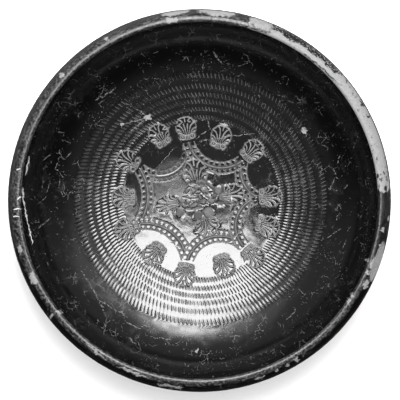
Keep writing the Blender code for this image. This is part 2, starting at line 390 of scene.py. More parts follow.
# A palmette's stamp, in mm from its base and its axis: a fan of ribs over hollow leaves, each half with
# its start, bend and end per rib, two volutes with an eye under it, and a stem between these. The die
# was cut by hand and pressed into the leather-hard clay, which leaves a raised edge round the fan.
ribs = (  # each rib's start, bend and end on the fan's rim, in mm from the stamp's base and its axis
    ((11.8, 0.00), (13.0, 0.00), (14.4, 0.00)),
    ((3.6, 0.62), (12.2, 0.75), (13.4, 3.30)),
    ((4.2, 1.60), (9.8, 2.20), (10.3, 5.80)),
    ((4.4, 2.60), (7.2, 3.70), (7.0, 6.10)),
    ((4.3, 3.50), (5.2, 4.40), (4.7, 5.30)),
)
rib_rise = 0.34
rib_half_width = 0.05  # at the ribs' feet, and what they have more towards the rim
rib_more = 0.24
ribs_widen = (4.5, 9.5)
rim_width = 0.30  # at the fan's sides, and what its tip has more
rim_more = 0.22
rim_widens = (8.0, 13.0)
pocket_depth = 0.50  # of the hollow leaves, under the ribs between them
pocket_wall = 0.20
pocket_from = 3.2  # where the leaves start, and how this line bends up at the sides
pocket_bend = 0.04
fan_length = 6.5  # half lengths and half widths of the fan and of the base under it
fan_width = 6.4
fan_place = 8.5
fan_from = 3.4
base_length = 2.7
base_width = 4.9
base_rise = 0.20
lobe_reach = 1.25  # the round lobe at each rib's end
lobe_swell = 0.40
lobe_rise = 0.08
curl_out = 2.15
curl_side = 3.05
curl_radius = 1.85
curl_line = 0.35
curl_line_half = 0.42
volute_rise = 0.12
eye_half = 0.60
eye_depth = 0.30
curl_groove_half = 0.40
curl_groove_depth = 0.26
stem_side = 0.50
stem_half = 0.32
stem_rise = 0.10
stem_end = 3.6
split_half = 0.25  # the groove down the stem's middle
split_depth = 0.20
base_left_out = (3.3, 3.9)  # where the cross palmettes end, which have no base
far_off = 9.0  # beyond any part of a stamp
# The distances and shares between which an edge or a crest blurs
stamp_edge = (-0.30, 0.10)
foot_edge = (0.2, 0.7)
crest_edge = (0.0, 0.35)
pocket_top = (0.05, 0.60)
ring_top = (0.35, 0.85)
eye_top = (0.4, 0.9)
stem_top = (0.3, 0.8)
base_line = (-0.75, -0.45)
ground_light = 0.10  # how light the ground, the eyes, the stem and the base's edge are worn
eye_shine = 0.8
stem_shine = 0.7
edge_shine = 0.75


def smooth_step(low, high, value):
    """0 below low, 1 above high, smooth between."""
    share = np.clip((value - low) / (high - low), 0.0, 1.0)
    return share * share * (3.0 - 2.0 * share)


def rounded(distance, half_width):
    """1 on a line, 0 from half its width away, as a half circle in between."""
    return np.sqrt(np.clip(1.0 - (distance / half_width) ** 2, 0.0, 1.0))


def oval_gap(out, side, place, length, width):
    """Distance in mm outside an oval that lies across the stamp's axis."""
    return (np.hypot((out - place) / length, side / width) - 1.0) * min(length, width)


def from_ribs(out, side):
    """Distance in mm to the nearest rib of a fan, whose two halves are alike."""
    nearest = np.full(len(out), np.inf)
    beside = np.abs(side)
    pieces = 10
    for rib in ribs:
        start, bend, end = np.array(rib)
        line = []
        for step in range(pieces + 1):
            share = step / pieces
            line.append((1.0 - share) ** 2 * start + 2.0 * share * (1.0 - share) * bend + share * share * end)
        for first, second in zip(line, line[1:]):
            run = second - first
            share = ((out - first[0]) * run[0] + (beside - first[1]) * run[1]) / (run @ run)
            share = np.clip(share, 0.0, 1.0)
            gap = np.hypot(out - first[0] - share * run[0], beside - first[1] - share * run[1])
            nearest = np.minimum(nearest, gap)
    return nearest


def palmette_relief(out, side, eye_light, drawn_out, wide, rim):
    """Height in mm of a palmette's stamp, where it is, its crests and its ground."""
    crossing = drawn_out > 0.0
    if crossing:
        tip = palmette_length * 1000.0
        out = tip - (tip - out) * drawn_out
        side = side / wide
    fan_edge = oval_gap(out, side, fan_place, fan_length, fan_width)
    lobes = 0.0
    for *_, end in ribs[1:]:
        lobes = np.maximum(lobes, rounded(np.hypot(out - end[0], np.abs(side) - end[1]), lobe_reach))
    fan_edge = fan_edge - lobe_swell * lobes
    rib_half = rib_half_width + rib_more * smooth_step(*ribs_widen, np.hypot(out, side))
    walls = np.maximum(from_ribs(out, side) - rib_half, 0.0)
    to_rim = np.maximum(-fan_edge - rim_width - rim_more * smooth_step(*rim_widens, out), 0.0)
    to_rim = to_rim + far_off * (1.0 - rim)
    to_base = np.maximum(out - pocket_from - pocket_bend * side ** 2, 0.0)
    hollow = np.minimum(walls + to_rim - np.hypot(walls, to_rim), to_base)
    pocket = smooth_step(0.0, pocket_wall, hollow)
    fan = rib_rise + lobe_rise * lobes - pocket_depth * pocket
    from_curl = np.hypot(out - curl_out, np.abs(side) - curl_side)
    base_edge = oval_gap(out, side, base_length, base_length, base_width)
    if crossing:
        from_curl = from_curl + far_off
        base_edge = base_edge + far_off
    ring = rounded(from_curl - curl_radius + curl_line, curl_line_half)
    eye = rounded(from_curl, eye_half)
    groove = rounded(from_curl - 0.50 * curl_radius, curl_groove_half)
    base = base_rise + volute_rise * np.maximum(ring, eye * eye_light) - curl_groove_depth * groove
    base -= eye_depth * eye * (1.0 - eye_light)
    stem = rounded(np.abs(side) - stem_side, stem_half)
    base += stem_rise * stem * (out < stem_end) - split_depth * rounded(side, split_half)
    off_curl = from_curl > curl_radius
    in_fan = (fan_edge < 0.0) & off_curl & (out > fan_from)
    raised = np.where(in_fan, fan, base)
    edge = np.minimum(np.minimum(fan_edge, base_edge), from_curl - curl_radius)
    mask = 1.0 - smooth_step(*stamp_edge, edge)
    if crossing:
        mask = mask * smooth_step(*base_left_out, out)
    lines = np.maximum(smooth_step(*ring_top, ring), eye_shine * eye_light * smooth_step(*eye_top, eye))
    lines = np.maximum(lines, edge_shine * smooth_step(*base_line, base_edge) * off_curl)
    lines = np.maximum(lines, stem_shine * smooth_step(*stem_top, stem) * off_curl)
    crests = np.where(in_fan, 1.0 - smooth_step(*pocket_top, pocket), np.maximum(lines, ground_light))
    crests = crests * (1.0 - smooth_step(*crest_edge, edge)) * mask
    return raised * mask, mask, crests, 1.0 - smooth_step(*foot_edge, edge)


relief = np.zeros(count)
stamped = np.zeros(count)
wear_and_highlight = np.zeros(count)
dull = np.zeros(count)
stamped_to = 0.062
floor_part = inside & (radius < stamped_to)
press_seed = 11
press = random.Random(press_seed)
lightest_press = 0.88
hardest_press = 1.1
cross_press = 0.85
eye_lights = (0.0, 0.5, 1.0)
plain_form = (0.0, 1.0, 1.0)
forms = [plain_form for palmette in linked_palmettes + lone_palmettes]
forms += [palmette[2:] for palmette in cross_palmettes]
half = palmette_length * 500.0
reach_out = 9.8
reach_side = 8.5
ground_dull = 0.6
for stamp, form in zip(stamps, forms):
    force = cross_press if form[0] > 0.0 else 1.0
    force = force * press.uniform(lightest_press, hardest_press)
    eye_light = press.choice(eye_lights)
    out, side = from_middle(x, y, *stamp)
    out = out * 1000.0 + half
    side = side * 1000.0
    close = floor_part & (np.abs(out - half) < reach_out) & (np.abs(side) < reach_side)
    raised, mask, crests, foot = palmette_relief(out[close], side[close], eye_light, *form)
    relief[close] = relief[close] * (1.0 - mask) + raised * force
    stamped[close] = np.maximum(stamped[close], mask)
    wear_and_highlight[close] = np.maximum(wear_and_highlight[close] * (1.0 - mask), crests)
    dull[close] = np.maximum(dull[close], ground_dull * foot) * (1.0 - mask)

# The arcs that link the palmettes, in mm: a sharp ridge with a row of ovules on either side, between
# fine edge lines. They were run on with a small curved die from one stamp to the next. The edge lines,
# the rings round the ovules and the ridge's line are painted highlight, made lighter in the colour.
ridge_rise = 0.34
ridge_place = 0.1
ridge_half = 0.42
gutter_depth = 0.22
gutter_place = 0.75
gutter_half = 0.42
gutter_dark = 0.35
channel_depth = 0.16
channel_place = 0.1
channel_sides = (1.15, 1.5)
ovule_rise = 0.10
ovule_radius = 1.20
ovule_pitch = 3.4
ovule_offset = 2.2
ovule_squeeze = 1.05
ovule_shine = (1.00, 1.30)
ovule_edge = (0.24, 0.20)  # the width of its flank inside its radius and outside it
row_start = 2.6
row_over = 1.5
row_side = 1.15  # how far from the arc its rows begin
band_reach = 4.2
band_dull = 3.9
band_half = 3.8
arc_over = 0.5
arc_ends = (1.2, 2.0)
worn_arc = 6  # the arc that is rubbed away along its middle, how far, and where from each end
worn_away = 0.85
worn_from = (12.0, 13.5)
worn_to = (3.0, 7.0)
# How much lighter the edge lines, the rings round the ovules and the ridge are painted, as painted highlight
edge_highlight = 0.62
edge_place = 1.25
edge_half = 0.40
ring_highlight = 0.42
ring_place = 1.52
ring_half = 0.34
ridge_highlight = 0.75
ridge_light_half = 0.5
least_light = 0.03
for number, (middle, arc_radius, first, sweep) in enumerate(arcs):
    far, turn = round_arc(x, y, middle, first, sweep)
    far = (far - arc_radius) * 1000.0
    run = turn * arc_radius * 1000.0
    whole = abs(sweep) * arc_radius * 1000.0
    on = floor_part & (np.abs(far) < band_reach) & (run > -arc_over) & (run < whole + arc_over)
    ends = smooth_step(*arc_ends, run) * smooth_step(*arc_ends, whole - run)
    if number == worn_arc:
        ends = ends * (1.0 - worn_away * smooth_step(*worn_from, run) * smooth_step(*worn_to, whole - run))
    band = ridge_rise * rounded(far - ridge_place, ridge_half)
    band = band - gutter_depth * rounded(far + gutter_place, gutter_half)
    shine = np.zeros(count)
    frame_highlights = np.zeros(count)
    for way in (-1.0, 1.0):
        row_radius = arc_radius * 1000.0 + way * ovule_offset
        row_run = turn * row_radius - row_start
        row_whole = abs(sweep) * row_radius - 2.0 * row_start
        eggs = max(1, round(row_whole / ovule_pitch))
        gap = row_whole / eggs
        egg = np.clip(np.round(row_run / gap), 0, eggs)
        above = far * way - ovule_offset
        from_egg = np.hypot((row_run - egg * gap) / ovule_squeeze, above)
        top = 1.0 - smooth_step(ovule_radius - ovule_edge[0], ovule_radius + ovule_edge[1], from_egg)
        channel = channel_depth * (1.0 - smooth_step(*channel_sides, np.abs(above - channel_place)))
        row = (ovule_rise * top - channel) * (row_run > -row_over) * (row_run < row_whole + row_over)
        beside = far * way > row_side
        band = np.where(beside, row, band)
        shine = np.where(beside, np.maximum(shine, 1.0 - smooth_step(*ovule_shine, from_egg)), shine)
        edges = edge_highlight * rounded(np.abs(above) - edge_place, edge_half)
        frame_highlight = np.maximum(edges, ring_highlight * rounded(from_egg - ring_place, ring_half))
        frame_highlights = np.where(beside, frame_highlight, frame_highlights)
    here = on & (stamped < 0.5)
    on_band = np.abs(far) < band_dull
    relief = np.where(here, band * ends, relief)
    # Painted highlight: the frames and the ridge's line are made lighter in the colour over the band, but not
    # on the ovules' tops or in the gutter
    painted_frame_highlight = np.maximum(frame_highlights, least_light) * on_band * (1.0 - shine)
    ridge_line = ridge_highlight * rounded(far - ridge_place, ridge_light_half)
    painted_frame_highlight = np.maximum(painted_frame_highlight, ridge_line) * (np.abs(far + gutter_place) > gutter_dark)
    wear_and_highlight = np.where(here, ends * painted_frame_highlight, wear_and_highlight)
    dull = np.where(here, ends * on_band * (1.0 - shine), dull)
    stamped = np.where(on, np.maximum(stamped, ends * (np.abs(far) < band_half)), stamped)

# The knot in the middle: a worn tangle of scrolls, lumps and fine strands over the cross of palmettes,
# pressed with small dies one over another. Each scroll has its middle, half length, half width,
# heading and rise in mm and degrees.
scrolls = (  # the knot of scrolls in the middle, in mm: middle, half length, half width, heading and rise
    (-3.2, 6.2, 2.0, 0.81, 68.0, 0.55),
    (-0.9, 8.2, 2.3, 0.75, 8.0, 0.60),
    (1.7, 6.3, 2.0, 0.75, -55.0, 0.55),
    (-0.8, 4.9, 1.4, 0.69, 20.0, 0.40),
    (-5.0, 2.0, 3.0, 0.69, 0.0, 0.45),
    (2.4, -1.0, 1.7, 1.57, 0.0, 0.70),
    (7.4, -0.7, 1.6, 1.13, -20.0, 0.60),
    (-3.4, -3.3, 2.6, 1.13, 28.0, 0.60),
    (-7.2, -1.0, 1.6, 1.00, 45.0, 0.50),
    (6.0, 9.8, 3.4, 0.56, -44.0, 0.35),
    (6.0, 2.3, 2.4, 0.75, -28.0, 0.50),
    (0.3, 1.8, 2.0, 0.75, -58.0, 0.50),
    (-7.4, 6.3, 2.0, 0.81, 50.0, 0.35),
    (4.4, 5.8, 1.8, 0.69, -75.0, 0.45),
    (9.7, 2.8, 1.5, 0.75, 60.0, 0.40),
    (-1.3, -0.5, 1.4, 0.69, 75.0, 0.40),
    (-9.7, -3.5, 1.6, 0.88, -40.0, 0.35),
    (-3.1, 10.5, 2.9, 0.88, -8.0, -0.50),
    (2.5, 9.7, 1.5, 0.69, -20.0, -0.50),
    (-3.4, -5.2, 2.6, 0.50, 6.0, -0.40),
    (-0.2, -3.9, 1.5, 0.50, 48.0, -0.40),
    (14.4, 7.2, 0.6, 2.88, 0.0, -0.30),
    (14.1, -1.8, 1.0, 1.00, 0.0, -0.15),
    (18.2, -1.4, 3.9, 0.50, 2.0, 0.30),
)
scroll_share = 0.45
scroll_light = 0.8
scroll_dull = 0.9
trench_place = 0.30
trench_half = 0.34
trench_depth = 0.10
trench_dull = 0.8
scroll_top = (0.3, 0.9)
across = x * 1000.0
upward = y * 1000.0
for middle_x, middle_y, half_length, half_width, heading, rise in scrolls:
    out, side = from_middle(across, upward, middle_x, middle_y, math.radians(heading))
    reach = np.hypot(out / half_length, side / half_width)
    lump = rounded(reach, 1.0) * floor_part
    cut = rounded((reach - 1.0) * half_width - trench_place, trench_half) * floor_part
    raised = relief * (1.0 - lump) + scroll_share * rise * lump
    relief = np.where(lump > 0.0, raised, relief - trench_depth * cut)
    light = scroll_light * max(rise, 0.0) * smooth_step(*scroll_top, lump)
    wear_and_highlight = np.where(lump > 0.0, light, wear_and_highlight * (1.0 - cut))
    dull = np.maximum(dull, np.maximum(trench_dull * cut, np.where(lump > 0.0, scroll_dull, 0.0)))
first_pitch = 2.3
second_pitch = 2.6
strand_rise = 0.07
strand_highlight = 0.22
strand_narrow = 1.7
strand_shade = 0.5
strand_dull = 0.45
knot_middle = (0.5, 1.5)
knot_edge = (8.0, 10.5)
first_strands = across + 0.5 * upward + 1.1 * np.sin(0.9 * across + 0.4 * upward)
second_strands = upward - 0.4 * across + np.sin(1.1 * upward + 0.7 * across)
first_strands = np.abs(np.sin(math.pi * first_strands / first_pitch))
second_strands = np.abs(np.sin(math.pi * second_strands / second_pitch))
strands = np.clip(1.0 - strand_narrow * np.minimum(first_strands, second_strands), 0.0, 1.0)
from_knot = np.hypot(across - knot_middle[0], upward - knot_middle[1])
knotted = floor_part * (1.0 - smooth_step(*knot_edge, from_knot))
relief += strand_rise * strands * knotted
# Painted highlight and painted shade: the strands are made lighter in the colour and the gaps between them
# darker
wear_and_highlight = wear_and_highlight * (1.0 - strand_shade * knotted * (1.0 - strands)) + strand_highlight * strands * knotted
dull = dull * (1.0 - strand_dull * knotted * (1.0 - strands))
discs = (  # flat discs under the middle's palmettes: middle, radius and rise in mm, and how light they are
    (11.6, 6.1, 2.3, 0.25, 0.40),
    (-12.2, -7.1, 2.5, 0.20, 0.22),
    (-1.0, -9.8, 2.5, 0.20, 0.10),
    (5.9, -7.8, 3.2, 0.25, 0.50),
)
disc_share = 0.7
disc_edge = 0.5
disc_dull = 0.9
rim_place = 0.35
rim_half = 0.55
rim_depth = 0.22
rim_dull = 0.7
rim_side = (-0.4, 0.5)  # the trench is on the side towards the middle
for middle_x, middle_y, disc_radius, rise, light in discs:
    right = across - middle_x
    up = upward - middle_y
    reach = np.hypot(right, up)
    top = (1.0 - smooth_step(disc_radius - disc_edge, disc_radius, reach)) * floor_part
    facing = -(right * middle_x + up * middle_y) / (reach * math.hypot(middle_x, middle_y) + 0.1)
    cut = rounded(reach - disc_radius - rim_place, rim_half) * floor_part * smooth_step(*rim_side, facing)
    relief = relief * (1.0 - top) + disc_share * rise * top - rim_depth * cut
    on_disc = reach < disc_radius
    wear_and_highlight = np.where(on_disc, light * top, wear_and_highlight * (1.0 - cut))
    dull = np.maximum(dull, np.maximum(rim_dull * cut, np.where(on_disc, disc_dull, 0.0)))

# The rouletting: rows of short leaning strokes, which a notched wheel left in the turning clay. Their
# depth wavers from stroke to stroke, and they stop at the stamps.
stroke_depth = 0.42
stroke_fill = 0.31  # half a notch's width as a share of the strokes' pitch
stroke_lean = 0.62  # strokes' own pitch by which the outer end runs ahead of the inner end
row_turn = 0.37  # each row's start, in pitches after the one inside it
end_power = 0.7
least_depth = 0.65
row_edge = (1.05, 0.9)
scatter_step = 12.9898  # the usual numbers for an even scatter from a sine
scatter_row = 4.1
scatter_reach = 43758.5453
strokes_cut = np.zeros(count)
between_strokes = np.zeros(count)
for number, (share, stroke_length, strokes, uneven, crowd) in enumerate(roulette_rows):
    row_radius = share * inner_radius + off_middle
    over_row = (radius - row_radius) / (stroke_length / 2.0)
    ends = np.clip(1.0 - over_row ** 2, 0.0, 1.0) ** end_power
    turn = angle + uneven * np.sin(angle - math.radians(crowd))
    phase = strokes * turn / (2.0 * math.pi) - stroke_lean * over_row / 2.0 + row_turn * number
    jitter = np.sin(np.floor(phase) * scatter_step + number * scatter_row) * scatter_reach
    jitter = jitter - np.floor(jitter)
    off_stroke = np.minimum(np.abs(phase - np.floor(phase) - 0.5) / stroke_fill, 1.0)
    notch = 0.5 + 0.5 * np.cos(math.pi * off_stroke)
    depth = least_depth + (1.0 - least_depth) * jitter
    strokes_cut = np.maximum(strokes_cut, notch * ends * depth * inside)
    between = 0.5 + 0.5 * np.cos(2.0 * math.pi * phase)
    between = between * smooth_step(*row_edge, np.abs(over_row)) * inside
    between_strokes = np.maximum(between_strokes, between)
relief -= strokes_cut * (1.0 - stamped) * stroke_depth

# The stamps and strokes stand at right angles to the wall, whose lean goes with them
ring_slope = np.gradient(ring_height[:inside_to], ring_radius[:inside_to])
slope = np.where(inside, np.interp(radius, ring_radius[:inside_to], ring_slope), 0.0)
steep = np.arctan(slope)
radius = np.where(inside, radius - np.sin(steep) * relief / 1000.0, radius)
height = np.where(inside, height + np.cos(steep) * relief / 1000.0, height)
x = radius * np.cos(angle)
y = radius * np.sin(angle)

# The chip: a blow took a shallow flake off the lip's outer shoulder. It falls back to the side of a
# flattened ball, with small steps across it where the clay broke.
chip_lift = math.radians(40.0)  # up the shoulder from the widest point to the chip's middle
chip_depth = 0.0015
chip_ball_length = 0.0260
chip_ball_height = 0.0200
chip_ball_reach = 0.0060
deepest_chip = 0.003
chip_side_from = 0.1  # nothing nearer to the axis than this is on the chip's side of the lip
shoulder_radius = bowl_radius - crest_inset + crest_inset * math.cos(chip_lift)
shoulder_height = belly_height + lip_height * math.sin(chip_lift)
lean = math.atan2(math.sin(chip_lift) / lip_height, math.cos(chip_lift) / crest_inset)
turned, chip_side = from_middle(x, y, 0.0, 0.0, chip_turn)
chip_out, chip_up = from_middle(turned, height, shoulder_radius, shoulder_height, lean)
left_over = 1.0 - (chip_side / chip_ball_length) ** 2 - (chip_up / chip_ball_height) ** 2
long_steps = 0.00012
short_steps = 0.00008
side_waves = 2100.0
up_waves = 1700.0
wave_push = 1.6
short_waves = 4100.0
break_steps = long_steps * np.sin(chip_side * side_waves + np.sin(chip_up * up_waves) * wave_push)
break_steps = break_steps + short_steps * np.sin(chip_up * short_waves)
scoop = chip_ball_reach - chip_depth - chip_ball_reach * np.sqrt(np.clip(left_over, 0.0, 1.0)) + break_steps
on_chip = (place > chip_from) & (place < chip_to + 1) & (left_over > 0.0) & (turned > chip_side_from)
chipped = np.clip(np.where(on_chip, chip_out - scoop, 0.0), 0.0, deepest_chip)
height = height - chipped * math.sin(lean)
x = x - chipped * math.cos(lean) * math.cos(chip_turn)
y = y - chipped * math.cos(lean) * math.sin(chip_turn)

# The finished mesh. Its points keep where the crests are worn and where highlight is painted on the arcs'
# frames and the knot's strands, the ground is dull, the strokes and the strips between them lie, the clay
# broke, and the side that was used.
for index, point in enumerate(shape.verts):
    point.co = (x[index], y[index], height[index])
bmesh.ops.recalc_face_normals(shape, faces=shape.faces)
for face in shape.faces:
    face.smooth = True
mesh = bpy.data.meshes.new("glazed_bowl")
shape.to_mesh(mesh)
shape.free()
mesh.attributes.remove(mesh.attributes["along"])
wall_used_to = (0.0530, 0.0560)
lip_used_from = (0.0680, 0.0700)
broken_depth = (0.00003, 0.0002)
used = inside * (1.0 - smooth_step(*wall_used_to, height))
traces = (
    ("crests", wear_and_highlight),
    ("dull_ground", dull),
    ("ridges", between_strokes * (1.0 - stamped)),
    ("notches", strokes_cut * (1.0 - stamped)),
    ("break_face", smooth_step(*broken_depth, chipped)),
    ("used_side", np.maximum(used, smooth_step(*lip_used_from, height))),
)
for name, values in traces:
    mesh.attributes.new(name, "FLOAT", "POINT").data.foreach_set("value", values)
bowl = bpy.data.objects.new("glazed_bowl", mesh)
bpy.context.scene.collection.objects.link(bowl)

# The slip and the clay as one procedural finish: a dense black gloss that the wheel, the stamps and
# long use have marked. It is glossy where whole, dull where rubbed, and lost in flakes down to the
# light clay. What depends on the stamps comes from the mesh's points, the rest from noise.
glaze = bpy.data.materials.new("black_gloss")
glaze.use_nodes = True
nodes = glaze.node_tree.nodes
links = glaze.node_tree.links
shader = nodes["Principled BSDF"]


def node(kind, settings=(), **inputs):
    """A node of the glaze with its settings and inputs, where an input may be another node's output."""
    made = nodes.new(kind)
    for name, value in settings:
        setattr(made, name, value)
    for name, value in inputs.items():
        key = int(name[1:]) if name[0] == "i" and name[1:].isdigit() else name.replace("_", " ")
        if isinstance(value, bpy.types.NodeSocket):
            links.new(value, made.inputs[key])
        else:
            made.inputs[key].default_value = value
    return made


def math_node(operation, first, second=0.0, third=0.0):
    """The output of a math node."""
    return node("ShaderNodeMath", (("operation", operation),), i0=first, i1=second, i2=third).outputs[0]


def product(first, second):
    """The output of a node that multiplies."""
    return math_node("MULTIPLY", first, second)


def total(first, second):
    """The output of a node that adds."""
    return math_node("ADD", first, second)


def larger(first, second):
    """The output of a node that takes the larger of two values."""
    return math_node("MAXIMUM", first, second)


def rest(value):
    """The output of a node for what a value leaves of 1."""
    return math_node("SUBTRACT", 1.0, value)


def shifted(value, texture, reach):
    """A value moved up and down by a texture, by up to half a reach."""
    return total(value, product(math_node("SUBTRACT", texture, 0.5), reach))


def vector_node(operation, first, second, output="Vector"):
    """The output of a vector math node."""
    return node("ShaderNodeVectorMath", (("operation", operation),), i0=first, i1=second).outputs[output]


def attribute(name):
    """The output of a value that the mesh's points keep."""
    return node("ShaderNodeAttribute", (("attribute_name", name),)).outputs["Fac"]


def grey(value):
    """A grey as a colour."""
    return (value, value, value, 1.0)


def mix_value(share, low, high):
    """The output of a mix of two numbers."""
    made = node("ShaderNodeMix", (("data_type", "FLOAT"),), i0=share, i2=low, i3=high)
    return made.outputs[0]


def mix_colour(share, low, high):
    """The output of a mix of two colours."""
    made = node("ShaderNodeMix", (("data_type", "RGBA"),), i0=share, i6=low, i7=high)
    return made.outputs[2]


def ramp(value, low, high):
    """The output of a smooth step between two values."""
    settings = (("interpolation_type", "SMOOTHSTEP"),)
    return node("ShaderNodeMapRange", settings, Value=value, From_Min=low, From_Max=high).outputs[0]


def noise(vector, scale, detail=3.0, roughness=0.55, output=0):
    """The output of a noise texture in metres."""
    made = node("ShaderNodeTexNoise", (), Vector=vector, Scale=scale, Detail=detail, Roughness=roughness)
    return made.outputs[output]


def warped(vector, scale, reach):
    """A vector pushed about at random by up to half a reach."""
    push = noise(vector, scale, 3.0, 0.6, "Color")
    centred = vector_node("SUBTRACT", push, (0.5, 0.5, 0.5))
    pushed = node("ShaderNodeVectorMath", (("operation", "SCALE"),), i0=centred, Scale=reach).outputs[0]
    return vector_node("ADD", vector, pushed)


def spot(vector, middle_x, middle_y, half_length, half_width, turn):
    """1 on an oval patch given in mm and degrees, 0 outside it."""
    soft_edge = (1.32, 0.72)  # in half lengths squared
    heading = Vector((math.cos(math.radians(turn)), math.sin(math.radians(turn)), 0.0))
    across = Vector((-heading.y, heading.x, 0.0))
    offset = vector_node("SUBTRACT", vector, (middle_x / 1000.0, middle_y / 1000.0, 0.0))
    reach = 0.0
    for axis, half in ((heading, half_length), (across, half_width)):
        share = vector_node("DOT_PRODUCT", offset, axis * (1000.0 / half), "Value")
        reach = math_node("MULTIPLY_ADD", share, share, reach)
    return ramp(reach, *soft_edge)


def web(vector, scale, width):
    """1 on the thin crooked lines between random cells, 0 inside them; the width is in metres."""
    core = 0.3
    settings = (("feature", "DISTANCE_TO_EDGE"), ("voronoi_dimensions", "2D"))
    reach = node("ShaderNodeTexVoronoi", settings, Vector=vector, Scale=scale).outputs["Distance"]
    return ramp(reach, width * scale, width * scale * core)


def drawn_round(stretch):
    """A place that changes fast up the wall and slowly round it, as the marks of turning do."""
    made = node(
        "ShaderNodeCombineXYZ", (), X=up_wall, Y=product(turn_cos, stretch), Z=product(turn_sin, stretch)
    )
    return made.outputs[0]


where = nodes.new("ShaderNodeTexCoord").outputs["Object"]
crests = attribute("crests")
dull_ground = attribute("dull_ground")
break_face = attribute("break_face")
ridges = attribute("ridges")
notches = attribute("notches")
used_side = attribute("used_side")
apart = node("ShaderNodeSeparateXYZ", (), Vector=where)
plan = node("ShaderNodeCombineXYZ", (), X=apart.outputs[0], Y=apart.outputs[1]).outputs[0]
across_plan = node("ShaderNodeVectorMath", (("operation", "LENGTH"),), i0=plan).outputs["Value"]
round_turn = math_node("ARCTAN2", apart.outputs[1], apart.outputs[0])
blotch = noise(where, 55.0, 4.0)
mottle = noise(where, 190.0, 4.0)
fine = noise(where, 900.0, 3.0)
up_wall = total(across_plan, apart.outputs[2])
turn_cos = math_node("COSINE", round_turn)
turn_sin = math_node("SINE", round_turn)
wheel = noise(drawn_round(0.003), 700.0, 3.0)
broken = noise(drawn_round(0.03), 520.0, 3.0, 0.6)
flake_warp = warped(plan, 520.0, 0.0058)
hair_warp = warped(plan, 260.0, 0.0036)

# The lip's wear: the clay is bare from 4 to 73 degrees round, the slip elsewhere on the lip is rubbed
# dull, and it is lost in flakes here and there. The chip's face and the foot's resting ring are bare.
# Each flake has its middle, half length and half width in mm, and its turn in degrees.
flakes = (
    (-14.7, 118.0, 9.4, 2.0, 12.0), (-17.2, 112.7, 3.8, 1.6, 5.0), (11.0, 117.7, 11.9, 2.3, -8.0),
    (38.5, 110.5, 7.5, 3.4, -25.0), (-58.5, 101.1, 1.6, 1.4, 0.0), (-85.8, 78.6, 1.5, 1.3, 0.0),
    (-112.1, -30.4, 1.1, 3.4, 10.0), (-103.9, -49.2, 2.0, 4.4, 25.0), (-88.0, -69.9, 2.2, 1.0, -20.0),
    (-92.7, -72.4, 0.8, 2.2, -40.0), (60.8, -99.6, 1.4, 1.3, 0.0), (54.8, -103.1, 1.3, 0.9, 30.0),
    (48.6, -106.2, 1.1, 0.8, 30.0), (36.7, -111.2, 2.2, 0.8, 15.0), (40.4, -110.0, 0.9, 0.6, 0.0),
    (104.0, -52.3, 2.0, 2.8, -10.0), (118.7, -11.0, 1.0, 1.9, 0.0), (104.9, -37.3, 1.4, 0.6, 40.0),
    (105.2, -45.1, 1.4, 0.9, -20.0), (95.5, -59.2, 1.1, 1.0, -40.0), (93.4, -63.3, 1.0, 1.6, -30.0),
    (-41.0, -107.5, 9.4, 0.7, -22.0), (-18.4, -116.2, 8.1, 0.8, -9.0), (-64.2, -94.9, 7.5, 0.6, -40.0),
    (114.5, -17.9, 1.3, 1.0, 0.0), (-32.5, 52.2, 2.1, 1.6, 20.0), (66.1, 44.1, 1.5, 2.1, 15.0),
    (-1.5, -94.3, 1.1, 0.8, 60.0), (-48.5, 47.9, 1.3, 0.8, 20.0), (109.8, -40.5, 6.4, 2.8, 72.0),
    (113.6, -30.0, 3.4, 1.2, 75.0),
)
# Thin bright lines at the lip's inner edge, and dark remains of slip on its bare part
edge_flakes = (
    (-108.0, 21.6, 6.1, 0.45, -102.5), (-110.8, 4.6, 4.1, 0.45, -90.0), (-110.4, -1.6, 2.8, 0.35, -80.8),
    (-108.9, -8.8, 5.1, 0.35, -76.1), (-106.4, -20.7, 7.6, 0.35, -79.7), (-111.9, 1.5, 2.4, 0.45, 17.1),
    (-113.2, 19.4, 1.4, 0.40, 15.9), (-114.0, -5.7, 2.5, 0.40, 8.1), (-114.3, -10.4, 2.2, 0.35, 0.0),
)
remains = (
    (38.5, 107.7, 7.0, 2.2, -22.0), (57.6, 102.3, 6.5, 2.6, -30.0), (68.9, 88.6, 6.0, 0.40, -39.0),
    (80.8, 78.5, 9.5, 0.40, -43.0), (102.4, 61.0, 2.6, 1.7, -50.0), (105.5, 52.2, 1.0, 0.8, 0.0),
    (30.5, 113.5, 8.0, 1.0, -15.0),
)
lip_inner = 0.1111
lip_blur = 0.0004
lip_waver = 0.0012
lip_above = 0.0075  # how far below the lip's top it begins, and where it is in full
lip_whole = 0.0055
bare_middle = math.radians(38.5)
bare_half = math.radians(34.5)
bare_blur = 0.012
bare_waver = 0.26
bare_tear = 0.36
off_bare = math_node("ABSOLUTE", math_node("SUBTRACT", round_turn, bare_middle))
bare_end = shifted(off_bare, mottle, bare_waver)
bare_end = shifted(bare_end, broken, bare_tear)
bare_turn = ramp(bare_end, bare_half + bare_blur, bare_half - bare_blur)
inner_edge = shifted(across_plan, mottle, lip_waver)
above_wall = ramp(apart.outputs[2], bowl_height - lip_above, bowl_height - lip_whole)
on_lip = product(ramp(inner_edge, lip_inner, lip_inner + lip_blur), above_wall)
bare = product(bare_turn, on_lip)

